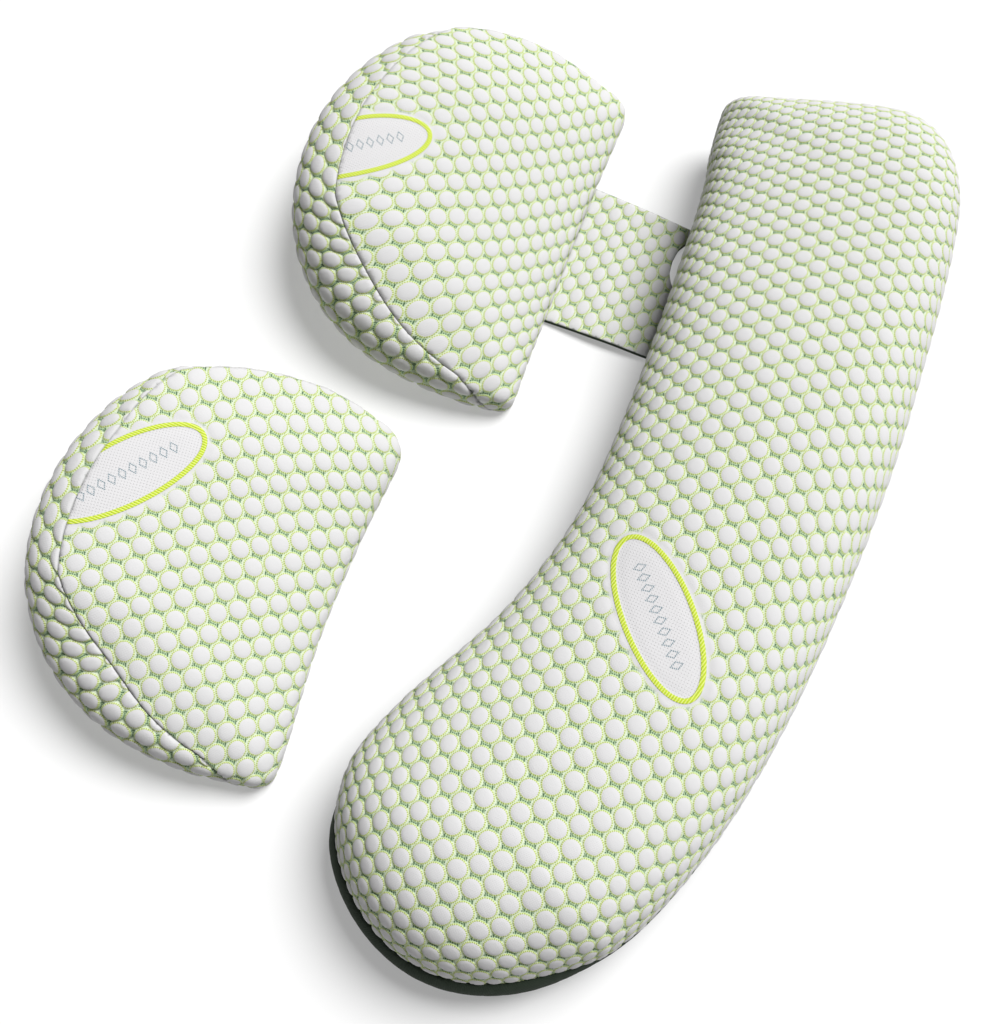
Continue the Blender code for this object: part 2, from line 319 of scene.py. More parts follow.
class Body:
    """A stuffed body, walked from its crest line outward and down to the middle of its underside."""

    ROUND = 60.0

    def __init__(self, spine, outline, section):
        self.spine = spine
        runs = np.diff(spine, axis=0)
        self.run_length = np.linalg.norm(runs, axis=1)
        self.start = np.r_[0.0, np.cumsum(self.run_length)]
        self.length = self.start[-1]
        self.runs = runs
        self.heading = [math.atan2(runs[k][1], runs[k][0]) for k in (0, -1)]
        turn, foot, _ = self.locate(outline)
        order = np.argsort(turn)
        self.turn, self.outline, self.foot = turn[order], outline[order], foot[order]
        self.period = 2 * self.length + 2 * math.pi * self.ROUND
        # section gives (points, m, 3) from the crest to the underside
        self.points = section(self.outline, self.foot)
        steps = np.linalg.norm(np.diff(self.points, axis=1), axis=2)
        self.walked = np.concatenate([np.zeros((len(steps), 1)), np.cumsum(steps, axis=1)], axis=1)

    def locate(self, p):
        """How far round the body points lie, their feet on the crest, and their distance from it."""
        turn = np.zeros(len(p))
        foot = np.zeros_like(p)
        best = np.full(len(p), np.inf)
        side = np.zeros(len(p))
        for j, (a, run, length) in enumerate(zip(self.spine[:-1], self.runs, self.run_length)):
            t = np.clip(((p - a) @ run) / length ** 2, 0.0, 1.0)
            f = a + t[:, None] * run
            d = np.linalg.norm(p - f, axis=1)
            closer = d < best
            best[closer] = d[closer]
            foot[closer] = f[closer]
            turn[closer] = self.start[j] + t[closer] * length
            side[closer] = (run[0] * (p[:, 1] - f[:, 1]) - run[1] * (p[:, 0] - f[:, 0]))[closer]
        along = turn.copy()
        way = p - foot
        angle = np.arctan2(way[:, 1], way[:, 0])
        left = side > 0
        turn[left] = self.length * 2 + math.pi * self.ROUND - along[left]
        end = along >= self.length - 1e-6
        fan = np.mod(angle - self.heading[1] + math.pi / 2 + 0.5, 2 * math.pi) - 0.5
        turn[end] = self.length + self.ROUND * np.clip(fan[end], 0.0, math.pi)
        begin = along <= 1e-6
        fan = np.mod(angle - self.heading[0] - math.pi / 2 + 0.5, 2 * math.pi) - 0.5
        turn[begin] = 2 * self.length + self.ROUND * (math.pi + np.clip(fan[begin], 0.0, math.pi))
        return turn, foot, best

    def rows_at(self, turn):
        """The two section rows on either side, and the share between them."""
        high = np.searchsorted(self.turn, turn) % len(self.turn)
        low = (high - 1) % len(self.turn)
        gap = np.mod(self.turn[high] - self.turn[low], self.period)
        share = np.mod(turn - self.turn[low], self.period) / np.maximum(gap, 1e-9)
        return low, high, np.clip(share, 0.0, 1.0)

    def at(self, turn, walked):
        """Points of the surface, round the body and so far from the crest."""
        low, high, share = self.rows_at(turn)
        w = share[:, None]
        table = (1 - w) * self.walked[low] + w * self.walked[high]
        walked = np.clip(walked, 0.0, table[:, -1] - 1e-6)
        k = np.clip((table <= walked[:, None]).sum(axis=1) - 1, 0, table.shape[1] - 2)
        rows = np.arange(len(turn))
        f = ((walked - table[rows, k]) / np.maximum(table[rows, k + 1] - table[rows, k], 1e-9))[:, None]
        before = (1 - w) * self.points[low, k] + w * self.points[high, k]
        after = (1 - w) * self.points[low, k + 1] + w * self.points[high, k + 1]
        return before * (1 - f) + after * f

    def total(self, turn):
        low, high, share = self.rows_at(turn)
        return (1 - share) * self.walked[low, -1] + share * self.walked[high, -1]


class Crown:
    """The upper or lower side of a body, laid flat round its crest line."""

    def __init__(self, body, under=False):
        self.body, self.under = body, under

    def __call__(self, p):
        turn, _, far = self.body.locate(p)
        if self.under:
            far = self.body.total(turn) - far
        return self.body.at(turn, far)

    def edge(self, rows, walked):
        """Flat places of the outline rows, where the panel ends at that distance."""
        foot, way = self.body.foot[rows], self.body.outline[rows] - self.body.foot[rows]
        if self.under:
            walked = self.body.walked[rows, -1] - walked
        return foot + unit(way) * walked[:, None]


class Wall:
    """The side of a body as a strip: how far round the outline, and how far up from its lower seam."""

    def __init__(self, body, rows, lower):
        self.body = body
        way = np.linalg.norm(np.diff(body.outline[rows], axis=0), axis=1)
        self.round = np.r_[0.0, np.cumsum(way)]
        self.turn = body.turn[rows]
        self.lower = lower

    def __call__(self, p):
        turn = np.interp(p[:, 0], self.round, self.turn)
        return self.body.at(turn, np.interp(p[:, 0], self.round, self.lower) - p[:, 1])


class Cloth:
    """How the net of cells lies on a flat panel.

    across and up say how the net's own two directions run there, in millimetres of cloth for 100 mm of panel:
    the factors of x, y, x2, xy, y2, x3, x2y, xy2 and y3, measured from the middle of one cell.
    """

    def __init__(self, middle, across, up):
        self.middle = np.array(middle, float)
        self.factors = np.zeros((2, 9))
        self.factors[0, :len(across)] = across
        self.factors[1, :len(up)] = up
        self.inverse = np.linalg.inv(self.factors[:, :2] / 100.0)

    def to_net(self, p):
        x, y = ((p - self.middle) / 100.0).T
        terms = np.stack([x, y, x * x, x * y, y * y, x ** 3, x * x * y, x * y * y, y ** 3], axis=1)
        return terms @ self.factors.T

    def to_flat(self, net):
        """The way back from the net, by repeated correction."""
        p = self.middle + net @ self.inverse.T
        for _ in range(60):
            p = p - 0.7 * (self.to_net(p) - net) @ self.inverse.T
        return p


def straight_net(middle, heading, column=COLUMN, pitch=PITCH):
    """A net whose columns run straight at a heading, its cells stretched to a column and a pitch."""
    a = math.radians(heading - 90.0)
    across = (math.cos(a) * 100 * COLUMN / column, math.sin(a) * 100 * COLUMN / column)
    up = (-math.sin(a) * 100 * PITCH / pitch, math.cos(a) * 100 * PITCH / pitch)
    return Cloth(middle, across, up)


def turning(loop):
    """1 for a loop that runs anticlockwise, -1 for one that runs clockwise."""
    x, y = loop.T
    return np.sign(np.sum(x * np.roll(y, -1) - np.roll(x, -1) * y))


def inside(polygon, p):
    """Which points lie inside a closed polygon."""
    found = np.zeros(len(p), bool)
    x, y = p[:, 0], p[:, 1]
    for a, b in zip(polygon, np.roll(polygon, -1, axis=0)):
        if a[1] == b[1]:
            continue
        crosses = (a[1] > y) != (b[1] > y)
        found ^= crosses & (x < (b[0] - a[0]) * (y - a[1]) / (b[1] - a[1]) + a[0])
    return found


def distance_to(polygon, p):
    """Distance of points from a closed polygon's edge."""
    best = np.full(len(p), np.inf)
    for a, b in zip(polygon, np.roll(polygon, -1, axis=0)):
        run = b - a
        t = np.clip(((p - a) @ run) / max(run @ run, 1e-12), 0.0, 1.0)
        d = p - a - t[:, None] * run
        best = np.minimum(best, d[:, 0] ** 2 + d[:, 1] ** 2)
    return np.sqrt(best)


def cell_border(parts):
    """Points round a cell's six sides, each side in so many parts."""
    corners = np.array([
        (CORNER_X, 0.0), (FLAT_X, PITCH / 2), (-FLAT_X, PITCH / 2),
        (-CORNER_X, 0.0), (-FLAT_X, -PITCH / 2), (FLAT_X, -PITCH / 2)])
    spots = []
    for a, b in zip(corners, np.roll(corners, -1, axis=0)):
        spots.extend(a + (b - a) * k / parts for k in range(parts))
    return np.array(spots)


def cells_over(polygon):
    """Middles of the cells that may touch a polygon."""
    low, high = polygon.min(axis=0) - PITCH, polygon.max(axis=0) + PITCH
    centres = []
    for i in range(int(low[0] // COLUMN), int(high[0] // COLUMN) + 2):
        for j in range(int(low[1] // PITCH) - 1, int(high[1] // PITCH) + 2):
            centres.append((i * COLUMN, (j + 0.5 * (i % 2)) * PITCH))
    return np.array(centres)


def nearest_cell(p):
    """The middle of the cell in which each point lies."""
    best, centre = None, None
    for odd in (0, 1):
        i = np.round((p[:, 0] / COLUMN - odd) / 2) * 2 + odd
        j = np.round(p[:, 1] / PITCH - 0.5 * odd) + 0.5 * odd
        c = np.stack([i * COLUMN, j * PITCH], axis=1)
        d = np.linalg.norm(p - c, axis=1)
        if best is None:
            best, centre = d, c
        else:
            nearer = d < best
            centre[nearer] = c[nearer]
    return centre


def border_share(local):
    """0 at a cell's middle, 1 on its border."""
    x, y = np.abs(local[:, 0]), np.abs(local[:, 1])
    diagonal = (COLUMN * x + PITCH / 2 * y) / (CORNER_X * COLUMN)
    return np.maximum(diagonal, y / (PITCH / 2))


def net_points(polygon, fine):
    """Points and grooves of the cells inside a polygon of the cloth."""
    parts, rings = (3, FINE_RINGS) if fine else (2, COARSE_RINGS)
    border = cell_border(parts)
    centres = cells_over(polygon)
    spots = (centres[:, None] + border[None]).reshape(-1, 2)
    # border points that two cells share become one
    keys = np.round(spots * 50).astype(np.int64)
    _, first, inverse = np.unique(keys, axis=0, return_index=True, return_inverse=True)
    loop = inverse.reshape(-1, len(border))
    edges = np.stack([loop, np.roll(loop, -1, axis=1)], axis=2).reshape(-1, 2)
    edges = np.unique(np.sort(edges, axis=1), axis=0)
    inner = [centres]
    for share, number in rings:
        ring = circle((np.arange(number) + 0.5) * 2 * math.pi / number)
        ring *= (share / border_share(ring))[:, None]
        # halfway from the cell's six sides to a circle
        ring *= (0.5 + 0.5 * (share * PAD_RADIUS / np.linalg.norm(ring, axis=1)))[:, None]
        inner.append((centres[:, None] + ring[None]).reshape(-1, 2))
    return spots[first], edges, np.concatenate(inner)


def pad_height(local):
    """How far a cell stands up, from 0 in the groove to 1 in the middle; its outline is nearly round."""
    share = 0.35 * border_share(local) + 0.65 * np.linalg.norm(local, axis=1) / PAD_RADIUS
    return (1 - np.clip(share, 0.0, 1.0) ** 4.0) ** 0.75


def crease_line(loop):
    """Points beside a panel's edge, a crease's width inside it."""
    along = unit(np.roll(loop, -1, axis=0) - np.roll(loop, 1, axis=0))
    inward = np.stack([-along[:, 1], along[:, 0]], axis=1) * turning(loop)
    spots = loop + inward * CREASE
    ok = inside(loop, spots)
    ok[ok] = distance_to(loop, spots[ok]) > 0.8 * CREASE
    return spots[ok]


class Label:
    """A woven oval with a lime border, in a panel's flat coordinates."""

    def __init__(self, centre, heading):
        self.centre = np.array(centre, float)
        a = math.radians(heading)
        self.turned = np.array([[math.cos(a), math.sin(a)], [-math.sin(a), math.cos(a)]])
        self.half = np.array(LABEL_HALF)

    def local(self, p):
        return (p - self.centre) @ self.turned.T

    def distance(self, p):
        """Distance of points from the oval, less than 0 inside it."""
        q = self.local(p) / self.half
        grade = 2 * np.linalg.norm(q / self.half, axis=1)
        return (np.sum(q * q, axis=1) - 1) / np.maximum(grade, 1e-3)

    def ring(self, out, step):
        """Points round the oval, so far outside it."""
        a = np.linspace(0, 2 * math.pi, 400, endpoint=False)
        around = circle(a) * self.half + unit(circle(a) / self.half) * out
        return resample(around, step, True) @ self.turned + self.centre

    def points(self):
        """Points along the border and in rings inside it."""
        border = (-LABEL_BORDER, -0.5 * LABEL_BORDER, 0.5 * LABEL_BORDER, LABEL_BORDER)
        rings = [self.ring(out, LABEL_STEP) for out in border]
        rings += [self.ring(-LABEL_BORDER - depth, 4.0) for depth in LABEL_INNER]
        return np.concatenate(rings)

    def raise_cloth(self, flat, hump):
        """Heights with the oval in them, and where the cloth is plain round it."""
        away = self.distance(flat)
        plain = 1 - smooth_step(LABEL_BORDER + 1.0, LABEL_CLEAR, away)
        hump = hump * (1 - plain) + 0.42 * plain
        middle = 0.30 * smooth_step(LABEL_BORDER, LABEL_BORDER + 8.0, -away)
        border = 0.25 * np.exp(-(away / LABEL_BORDER) ** 4)
        return hump + np.where(away < LABEL_BORDER, middle + border, 0.0), plain


def panel_points(cloth, loop, net_loop, fine, label):
    """Points inside a panel and the grooves that join some of them, in the net's coordinates."""
    spots, edges, inner = net_points(net_loop, fine)
    free = np.concatenate([spots, inner])
    keep = inside(net_loop, free)
    keep[keep] = distance_to(net_loop, free[keep]) > CREASE + CREASE_CLEAR
    extra = [cloth.to_net(crease_line(loop))]
    if label is not None:
        keep[keep] = label.distance(cloth.to_flat(free[keep])) > LABEL_BORDER + 0.8
        rings = label.points()
        ok = inside(loop, rings)
        ok[ok] = distance_to(loop, rings[ok]) > CREASE + CREASE_CLEAR
        extra.append(cloth.to_net(rings[ok]))
    number = np.cumsum(keep) - 1
    grooves = number[edges[keep[edges].all(axis=1)]]
    return np.concatenate([free[keep]] + extra), grooves


def fill_loop(loop, points, grooves):
    """Triangles over a closed loop and points inside it, with the grooves among their edges.

    Each place comes with its number in the loop, or another number, or -1.
    """
    n = len(loop)
    ring = np.arange(n)
    constraints = np.concatenate([np.stack([ring, (ring + 1) % n], axis=1), grooves + n])
    outline = ring if turning(loop) > 0 else ring[::-1]
    every = [Vector(p) for p in np.concatenate([loop, points])]
    pairs = [tuple(pair) for pair in constraints.tolist()]
    made = delaunay_2d_cdt(every, pairs, [outline.tolist()], 0, 1e-5, True)
    coords = np.array([tuple(v) for v in made[0]])
    faces = np.array([f for f, whole in zip(made[2], made[5]) if whole], int)
    came = np.array([numbers[0] if numbers else -1 for numbers in made[3]])
    used = np.unique(faces)
    renumber = np.full(len(coords), -1)
    renumber[used] = np.arange(len(used))
    return coords[used], renumber[faces], came[used]


def surface_normals(place, flat):
    """Directions square to the body's surface at flat places."""
    step = 0.6
    return unit(np.cross(place(flat + (step, 0)) - place(flat - (step, 0)),
                         place(flat + (0, step)) - place(flat - (0, step))))


def cell_humps(coords):
    """How far the cells stand up at places of the net, no two cells quite alike."""
    centre = nearest_cell(coords)
    vary = np.sin(centre[:, 0] * 12.9898 + centre[:, 1] * 78.233) * 43758.5453
    return pad_height(coords - centre) * (1.0 + PAD_VARIETY * (vary - np.floor(vary) - 0.5))


def build_panel(place, cloth, loop, fixed, fine=True, label=None, flip=False,
                rise=PAD_RISE, sink=PAD_SINK, hem=0.0):
    """Mesh data of one panel. place maps flat points to the body, and fixed are its edge's points there."""
    net_loop = cloth.to_net(loop)
    points, grooves = panel_points(cloth, loop, net_loop, fine, label)
    coords, faces, came = fill_loop(net_loop, points, grooves)
    flat = cloth.to_flat(coords)
    on_edge = (came >= 0) & (came < len(loop))
    flat[on_edge] = loop[came[on_edge]]
    hump = cell_humps(coords)
    plain = np.zeros(len(coords))
    label_place = np.full((len(coords), 2), AWAY_FROM_LABELS)
    if label is not None:
        hump, plain = label.raise_cloth(flat, hump)
        label_place = label.local(flat)
    if hem:
        from_hem = np.minimum(flat[:, 1] - loop[:, 1].min(), loop[:, 1].max() - flat[:, 1])
        plain = np.maximum(plain, 1 - smooth_step(hem, hem + 1.5, from_hem))
        hump = hump * (1 - plain) + 0.5 * plain
    height = (hump * rise - sink) * smooth_step(-0.6, 1.8, distance_to(net_loop, coords))
    side = -1.0 if flip else 1.0
    position = place(flat) + surface_normals(place, flat) * side * height[:, None]
    position[on_edge] = fixed[came[on_edge]]
    position[:, 2] = np.maximum(position[:, 2], 0.0)
    if flip:
        faces = faces[:, ::-1]
    owner = nearest_cell(coords[faces].mean(axis=1))
    local = coords[faces] - owner[:, None]
    # every edge point carries the seam mask: dark stitching and painted shade along each seam
    return {
        "points": position, "faces": faces, "cell": local.reshape(-1, 2),
        "cloth": coords[faces].reshape(-1, 2), "label": label_place[faces].reshape(-1, 2),
        "plain": plain, "seam_thread_shade_mask": on_edge.astype(float)}


def join_panels(name, covers, bases, knit, shade_cloth):
    """One closed mesh out of panels that share their seam points, its bases in the near-black cloth that
    paints the shade under each piece.
    """
    panels = covers + bases
    starts = np.cumsum([0] + [len(p["points"]) for p in panels])
    points = (np.concatenate([p["points"] for p in panels]) + SHIFT) * MM
    faces = np.concatenate([p["faces"] + start for p, start in zip(panels, starts)])
    keys = np.round(points * 1e6).astype(np.int64)
    _, first, inverse = np.unique(keys, axis=0, return_index=True, return_inverse=True)
    faces = inverse.reshape(-1)[faces]
    sound = (faces != np.roll(faces, 1, axis=1)).all(axis=1)
    mesh = bpy.data.meshes.new(name)
    mesh.from_pydata(points[first].tolist(), [], faces[sound].tolist())
    corner_sound = np.repeat(sound, 3)
    for key in ("cell", "cloth", "label"):
        layer = mesh.uv_layers.new(name=key, do_init=False)
        data = np.concatenate([p[key] for p in panels])[corner_sound].astype(np.float32)
        layer.uv.foreach_set("vector", data.ravel())
    for key in ("plain", "seam_thread_shade_mask"):
        values = np.concatenate([p[key] for p in panels])[first].astype(np.float32)
        mesh.attributes.new(key, 'FLOAT', 'POINT').data.foreach_set("value", values)
    mesh.materials.append(knit)
    mesh.materials.append(shade_cloth)
    # Underside panels and the strap's rim take the near-black painted-shade cloth, which stands in for the
    # shadow at each piece's foot.
    cover_faces = sum(len(p["faces"]) for p in covers)
    of_base = (np.arange(len(faces)) >= cover_faces)[sound]
    mesh.polygons.foreach_set("material_index", of_base.astype(np.int32))
    mesh.shade_smooth()
    mesh.validate()
    item = bpy.data.objects.new(name, mesh)
    bpy.context.scene.collection.objects.link(item)
    return item


# ------------------------------------------------------------------ material
def srgb(red, green, blue):
    """A colour given as it looks on screen, 0 to 255, for a shader."""
    def linear(value):
        value /= 255.0
        return value / 12.92 if value <= 0.04045 else ((value + 0.055) / 1.055) ** 2.4
    return (linear(red), linear(green), linear(blue), 1.0)


# Dark seam line: dark stitching plus painted shade in the seam's groove, and painted contact shadow along the
# wedges' lower seams and the strap's edges.
SEAM_THREAD_AND_SHADE = srgb(66, 74, 62)
PAD_COLOUR = srgb(197, 196, 197)
PAD_SHADE = srgb(191, 193, 190)
PALE_GREEN = srgb(194, 207, 178)
MINT = srgb(170, 197, 152)
LIME = srgb(208, 218, 130)
OLIVE = srgb(160, 174, 84)
DARK_GREEN = srgb(40, 76, 52)
OVAL_GROUND = srgb(199, 198, 199)
TEAL = srgb(72, 106, 118)
# Near-black green of the underside cloth: painted shade standing in for the shadow round each piece's foot;
# the second is its fainter, noise-mixed tone.
BASE_PAINTED_SHADE = srgb(38, 48, 38)
BASE_PAINTED_SHADE_FADED = srgb(56, 68, 54)
BORDER_LIME = srgb(178, 199, 42)
BORDER_SHADE = srgb(205, 217, 112)
RING_RADIUS = 7.5            # of the lime stitches round a pad
RING_STITCHES = 29.0
STITCH = 1.16                # a knitted stitch, in both directions


class Graph:
    """Short names for a material's nodes."""

    def __init__(self, tree):
        self.tree = tree

    def link(self, value, socket):
        if isinstance(value, bpy.types.NodeSocket):
            self.tree.links.new(value, socket)
        elif value is not None:
            socket.default_value = value

    def math(self, operation, a, b=None, c=None):
        node = self.tree.nodes.new('ShaderNodeMath')
        node.operation = operation
        for value, socket in zip((a, b, c), node.inputs):
            self.link(value, socket)
        return node.outputs[0]

    def add(self, a, b):
        return self.math('ADD', a, b)

    def sub(self, a, b):
        return self.math('SUBTRACT', a, b)

    def mul(self, a, b):
        return self.math('MULTIPLY', a, b)

    def size(self, a):
        return self.math('ABSOLUTE', a)

    def ramp(self, value, low, high, start=0.0, end=1.0):
        """A smooth step from start to end as value goes from low to high."""
        node = self.tree.nodes.new('ShaderNodeMapRange')
        node.interpolation_type = 'SMOOTHSTEP'
        flip = low > high
        if flip:
            low, high, start, end = high, low, end, start
        for item, socket in zip((value, low, high, start, end), node.inputs):
            self.link(item, socket)
        return node.outputs[0]

    def uv(self, name):
        node = self.tree.nodes.new('ShaderNodeUVMap')
        node.uv_map = name
        split = self.tree.nodes.new('ShaderNodeSeparateXYZ')
        self.tree.links.new(node.outputs[0], split.inputs[0])
        return node.outputs[0], split.outputs[0], split.outputs[1]

    def value(self, name):
        node = self.tree.nodes.new('ShaderNodeAttribute')
        node.attribute_name = name
        return node.outputs['Fac']

    def blend(self, share, a, b):
        node = self.tree.nodes.new('ShaderNodeMix')
        node.data_type = 'RGBA'
        self.link(share, node.inputs[0])
        self.link(a, node.inputs[6])
        self.link(b, node.inputs[7])
        return node.outputs[2]

    def noise(self, vector, scale, detail=2.0):
        node = self.tree.nodes.new('ShaderNodeTexNoise')
        self.link(vector, node.inputs['Vector'])
        node.inputs['Scale'].default_value = scale
        node.inputs['Detail'].default_value = detail
        return node.outputs[0]

    def stripes(self, x, y, angle, period):
        """A wave from 0 to 1 across a direction."""
        a = math.radians(angle)
        turns = 2 * math.pi / period
        turned = self.add(self.mul(x, math.cos(a) * turns), self.mul(y, math.sin(a) * turns))
        return self.math('MULTIPLY_ADD', self.math('SINE', turned), 0.5, 0.5)

    def length(self, x, y):
        return self.math('SQRT', self.add(self.mul(x, x), self.mul(y, y)))

    def surface(self, colour, roughness, relief, strength):
        """Finish a cloth shader; its relief is in millimetres."""
        shader = self.tree.nodes["Principled BSDF"]
        self.link(colour, shader.inputs['Base Color'])
        shader.inputs['Roughness'].default_value = roughness
        shader.inputs['Specular IOR Level'].default_value = 0.2
        bump = self.tree.nodes.new('ShaderNodeBump')
        bump.inputs['Distance'].default_value = MM
        bump.inputs['Strength'].default_value = strength
        self.link(relief, bump.inputs['Height'])
        self.link(bump.outputs[0], shader.inputs['Normal'])
        return shader


def new_material(name):
    material = bpy.data.materials.new(name)
    material.use_nodes = True
    return material, Graph(material.node_tree)


def stitched_pads(g, cloth, cloth_x, cloth_y):
    """Colour of the pads and of the stitches round and between them, and the stitches' relief."""
    _, x, y = g.uv("cell")
    patterned = g.sub(1.0, g.value("plain"))
    across, up = g.size(x), g.size(y)
    uneven = g.mul(g.sub(g.noise(cloth, 0.45), 0.5), 0.9)
    radius = g.add(g.length(x, y), uneven)
    from_flat = g.sub(PITCH / 2, up)
    colour = g.blend(g.mul(g.noise(cloth, 0.06), 0.3), PAD_COLOUR, PAD_SHADE)
    # the pale green ground of the grooves, deeper green where two pads of a column meet
    ground = g.mul(g.ramp(radius, RING_RADIUS - 0.7, RING_RADIUS), patterned)
    between = g.mul(g.ramp(from_flat, 2.8, 0.6), g.ramp(across, 6.0, 3.5))
    colour = g.blend(g.mul(ground, 0.9), colour, g.blend(between, PALE_GREEN, MINT))
    # a ring of lime stitches round each pad
    wave = g.math('SINE', g.mul(g.math('ARCTAN2', y, x), RING_STITCHES))
    bead = g.ramp(g.math('MULTIPLY_ADD', wave, 0.5, 0.5), 0.35, 0.6)
    ring = g.mul(g.ramp(g.size(g.sub(radius, RING_RADIUS)), 0.75, 0.3), patterned)
    colour = g.blend(g.mul(ring, 0.45), colour, LIME)
    colour = g.blend(g.mul(g.mul(ring, bead), 0.9), colour, OLIVE)
    # dark green stitches across the columns, in two taller clusters joined by a low row
    end = g.ramp(g.size(g.sub(across, 3.6)), 1.4, 0.8)
    tall = g.add(0.5, g.mul(end, 0.9))
    bow = g.mul(g.ramp(g.sub(from_flat, tall), 0.25, -0.25), g.ramp(across, 5.2, 4.6))
    bow = g.mul(bow, patterned)
    ticks = g.ramp(g.stripes(cloth_x, cloth_y, 16.0, 1.75), 0.3, 0.55)
    colour = g.blend(g.mul(g.mul(bow, g.add(0.2, g.mul(ticks, 0.8))), 0.85), colour, DARK_GREEN)
    return colour, g.add(g.mul(g.mul(ring, bead), 0.35), g.mul(g.mul(bow, ticks), 0.4))


def woven_oval(g, colour):
    """The cloth's colour with the oval over it, and the relief of its border and its dots."""
    _, x, y = g.uv("label")
    away, within = oval_distance(g, x, y)
    colour = g.blend(within, colour, OVAL_GROUND)
    colour = g.blend(g.mul(oval_motif(g, x, y), 0.85), colour, TEAL)
    twist = g.ramp(g.stripes(x, y, 35.0, 2.1), 0.3, 0.7)
    on_border = g.ramp(g.size(away), LABEL_BORDER + 0.15, LABEL_BORDER - 0.2)
    colour = g.blend(on_border, colour, g.blend(twist, BORDER_SHADE, BORDER_LIME))
    dots = g.mul(g.stripes(x, y, 45.0, 2.4), g.stripes(x, y, -45.0, 2.4))
    border = g.mul(on_border, g.add(0.3, g.mul(twist, 0.5)))
    return colour, g.add(border, g.mul(g.mul(within, g.ramp(dots, 0.55, 0.9)), 0.4))


def quilted_knit(name):
    """Jacquard knit: off-white pads ringed by lime stitches, with dark green ones between the pads."""
    material, g = new_material(name)
    cloth, cloth_x, cloth_y = g.uv("cloth")
    colour, stitches = stitched_pads(g, cloth, cloth_x, cloth_y)
    colour, oval = woven_oval(g, colour)
    # painted shade: seams darkened for dark stitching, the shade in their groove and the shadow where they
    # meet the floor
    colour = g.blend(g.mul(g.value("seam_thread_shade_mask"), 0.75), colour, SEAM_THREAD_AND_SHADE)
    knit = g.mul(g.stripes(cloth_x, cloth_y, 0.0, STITCH), g.stripes(cloth_x, cloth_y, 90.0, STITCH))
    relief = g.add(g.mul(knit, 0.10), g.mul(g.noise(cloth, 0.9, 3.0), 0.25))
    relief = g.add(g.add(relief, stitches), oval)
    shader = g.surface(colour, 0.88, relief, 0.8)
    shader.inputs['Sheen Weight'].default_value = 0.05
    shader.inputs['Sheen Roughness'].default_value = 0.5
    return material


def painted_shade_cloth(name):
    """Painted shade: a near-black green knit under each piece, standing in for the shadow round its foot,
    finely ribbed, a little faded in places.
    """
    material, g = new_material(name)
    cloth, x, y = g.uv("cloth")
    ribs = g.mul(g.stripes(x, y, 0.0, 2.2), g.add(0.6, g.mul(g.stripes(x, y, 90.0, 1.4), 0.4)))
    # near-black painted shade, mixed with a fainter tone by noise
    colour = g.blend(g.mul(g.noise(cloth, 0.05), 0.5), BASE_PAINTED_SHADE, BASE_PAINTED_SHADE_FADED)
    colour = g.blend(g.mul(ribs, 0.3), colour, BASE_PAINTED_SHADE_FADED)
    g.surface(colour, 0.9, g.mul(ribs, 0.3), 0.6)
    return material


def oval_distance(g, x, y):
    """Distance from the oval's outline, and how far a point is inside it."""
    a, b = LABEL_HALF
    ax, ay = g.mul(x, 1 / a), g.mul(y, 1 / b)
    square = g.add(g.mul(ax, ax), g.mul(ay, ay))
    grade = g.mul(g.length(g.mul(ax, 1 / a), g.mul(ay, 1 / b)), 2.0)
    away = g.math('DIVIDE', g.sub(square, 1.0), g.math('MAXIMUM', grade, 0.001))
    return away, g.ramp(away, 0.1, -0.1)


def oval_motif(g, x, y):
    """A row of small lozenges along the oval."""
    step = 9.0
    cell_x = g.sub(g.math('MODULO', g.add(x, 1000 * step), step), step / 2)
    lozenge = g.add(g.size(cell_x), g.mul(g.size(y), 0.62))
    outline = g.ramp(g.size(g.sub(lozenge, 3.0)), 0.8, 0.45)
    row = g.mul(outline, g.ramp(g.size(x), 45.2, 44.8))
    return g.mul(row, g.ramp(g.stripes(x, y, 90.0, 1.3), 0.2, 0.5))


# ------------------------------------------------------------------ bodies
def long_section(outline, foot):
    """The section rows of the long pillow, from the crest to the middle of its underside."""
    way = outline - foot
    facing = np.arctan2(way[:, 1], way[:, 0])
    taper = smooth_step(*TAPER_SPREAD, np.cos(facing - math.radians(TAPER_FACING)))[:, None, None]
    end = smooth_step(*END_SPREAD, np.cos(facing - math.radians(END_FACING)))[:, None, None]
    y = outline[:, 1]
    boxy = (smooth_step(*BOXY_START, y) * (1 - smooth_step(*BOXY_END, y)))[:, None, None]
    parts = []
    for steep_rows, taper_rows, boxy_rows, end_rows, count in (
            (STEEP_UPPER, TAPER_UPPER, BOXY_UPPER, END_UPPER, LONG_UPPER_STEPS),
            (SIDE_LOWER, TAPER_LOWER, TAPER_LOWER, END_LOWER, LONG_LOWER_STEPS)):
        tapered = (1 - boxy) * spline(taper_rows, count) + boxy * spline(boxy_rows, count)
        side = (1 - taper) * spline(steep_rows, count) + taper * tapered
        parts.append((1 - end) * side + end * spline(end_rows, count))
    rows = np.concatenate([parts[0], parts[1][:, 1:]], axis=1)
    flat = foot[:, None] + way[:, None] * (1 - rows[:, :, :1])
    return np.concatenate([flat, rows[:, :, 1:] * LONG_THICKNESS], axis=2)


def seam_points(body, turn, walked, sink=SEAM_SINK):
    """Points of a seam, drawn in towards the body's inside."""
    reach = 3.0
    along = body.at(np.roll(turn, -1), np.roll(walked, -1)) - body.at(np.roll(turn, 1), np.roll(walked, 1))
    across = body.at(turn, walked + reach) - body.at(turn, walked - reach)
    return body.at(turn, walked) + unit(np.cross(along, across)) * sink


